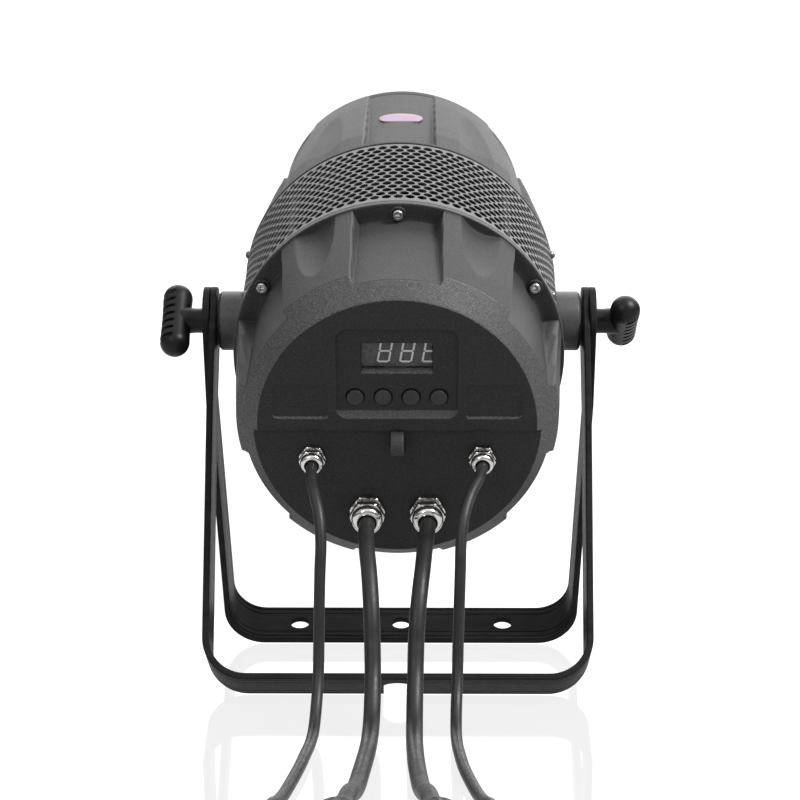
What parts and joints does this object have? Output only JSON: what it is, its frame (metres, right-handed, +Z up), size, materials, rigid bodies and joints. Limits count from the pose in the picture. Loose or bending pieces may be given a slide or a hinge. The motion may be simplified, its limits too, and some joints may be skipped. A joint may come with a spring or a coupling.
{
  "type": "par can light",
  "caption": "Stage par lamp: a round can with a perforated cooling band, rear control panel and cable leads, hung between splayed U-shaped floor brackets with T-grip pivot knobs.",
  "frame": {"origin": "on the floor, under the middle of the box round the lamp and its brackets, leads left out", "axes": "+Z up, +Y the way the lamp shines, +X to the right for someone who looks at the control panel"},
  "size_m": [0.2976, 0.6965, 0.368],
  "materials": {
    "powder_coat": "cast aluminium under a matt, finely textured dark grey powder coat",
    "satin_black": "satin black coat on bent steel strip",
    "steel": "zinc-plated steel",
    "nickel": "nickel-plated brass",
    "black_rubber": "matt black moulded rubber",
    "black_plastic": "matt black moulded plastic",
    "bare_aluminium": "bare aluminium",
    "circuit_board": "green circuit board with its parts",
    "tinted_window": "dark tinted window",
    "clear_glass": "clear tempered front glass",
    "reflector": "bright polished reflector",
    "led_module": "yellow phosphor on a white board"
  },
  "bodies": {
    "stand": {"inner_bracket": "satin_black", "signal_in_cord": "black_rubber", "signal_in_connector": "black_plastic", "signal_out_cord": "black_rubber", "signal_out_connector": "black_plastic", "power_in_cord": "black_rubber", "power_in_connector": "black_plastic", "power_out_cord": "black_rubber", "power_out_connector": "black_plastic"},
    "outer_bracket": {"outer_bracket": "satin_black"},
    "can": {"rear_housing": "powder_coat", "front_housing": "powder_coat", "front_ring": "powder_coat", "mesh_band": "powder_coat", "front_bezel": "powder_coat", "lens_glass": "clear_glass", "lens_gasket": "black_rubber", "reflector": "reflector", "led_module": "led_module", "heat_sink": "bare_aluminium", "fan_frame": "black_plastic", "bulkhead_plate": "bare_aluminium", "power_supply": "bare_aluminium", "driver_board": "circuit_board", "control_board": "circuit_board", "display_module": "black_plastic", "display_window": "tinted_window", "safety_eye": "powder_coat", "housing_screw_1": "steel", "housing_screw_2": "steel", "housing_screw_3": "steel", "housing_screw_4": "steel", "housing_screw_5": "steel", "housing_screw_6": "steel", "tie_rod_1": "steel", "tie_rod_2": "steel", "tie_rod_3": "steel", "tie_rod_4": "steel", "signal_in_gland_body": "nickel", "signal_in_gland_nut": "nickel", "signal_out_gland_body": "nickel", "signal_out_gland_nut": "nickel", "power_in_gland_body": "nickel", "power_in_gland_nut": "nickel", "power_out_gland_body": "nickel", "power_out_gland_nut": "nickel", "pivot_boss_left": "powder_coat", "pivot_boss_right": "powder_coat", "friction_washer_left": "black_rubber", "friction_washer_right": "black_rubber"},
    "knob_left": {"knob_left": "black_rubber", "knob_stud_left": "steel"},
    "knob_right": {"knob_right": "black_rubber", "knob_stud_right": "steel"},
    "fan_rotor": {"fan_rotor": "black_plastic"},
    "button_menu": {"button_menu": "black_rubber"},
    "button_up": {"button_up": "black_rubber"},
    "button_down": {"button_down": "black_rubber"},
    "button_enter": {"button_enter": "black_rubber"}
  },
  "joints": [
    {"name": "can_tilt", "type": "hinge", "parent": "stand", "child": "can", "pos_m": [0, -0.02375, 0.21944], "axis": [1, 0, 0], "range_deg": [-60, 80], "deforming": ["signal_in_cord", "signal_out_cord", "power_in_cord", "power_out_cord"]},
    {"name": "bracket_fold", "type": "hinge", "parent": "stand", "child": "outer_bracket", "pos_m": [0, -0.02375, 0.21944], "axis": [1, 0, 0], "range_deg": [-18, 200]},
    {"name": "knob_left_turn", "type": "hinge", "parent": "can", "child": "knob_left", "pos_m": [0, -0.02375, 0.21944], "axis": [1, 0, 0], "continuous": true},
    {"name": "knob_right_turn", "type": "hinge", "parent": "can", "child": "knob_right", "pos_m": [0, -0.02375, 0.21944], "axis": [1, 0, 0], "continuous": true},
    {"name": "fan_spin", "type": "hinge", "parent": "can", "child": "fan_rotor", "pos_m": [0, -0.04962, 0.20873], "axis": [0, 0.9239, 0.3827], "continuous": true},
    {"name": "button_menu_press", "type": "slide", "parent": "can", "child": "button_menu", "axis": [0, 0.9239, 0.3827], "range_m": [0, 0.001], "stiffness_N_per_m": 800, "springref_m": -0.001},
    {"name": "button_up_press", "type": "slide", "parent": "can", "child": "button_up", "axis": [0, 0.9239, 0.3827], "range_m": [0, 0.001], "stiffness_N_per_m": 800, "springref_m": -0.001},
    {"name": "button_down_press", "type": "slide", "parent": "can", "child": "button_down", "axis": [0, 0.9239, 0.3827], "range_m": [0, 0.001], "stiffness_N_per_m": 800, "springref_m": -0.001},
    {"name": "button_enter_press", "type": "slide", "parent": "can", "child": "button_enter", "axis": [0, 0.9239, 0.3827], "range_m": [0, 0.001], "stiffness_N_per_m": 800, "springref_m": -0.001}
  ]
}
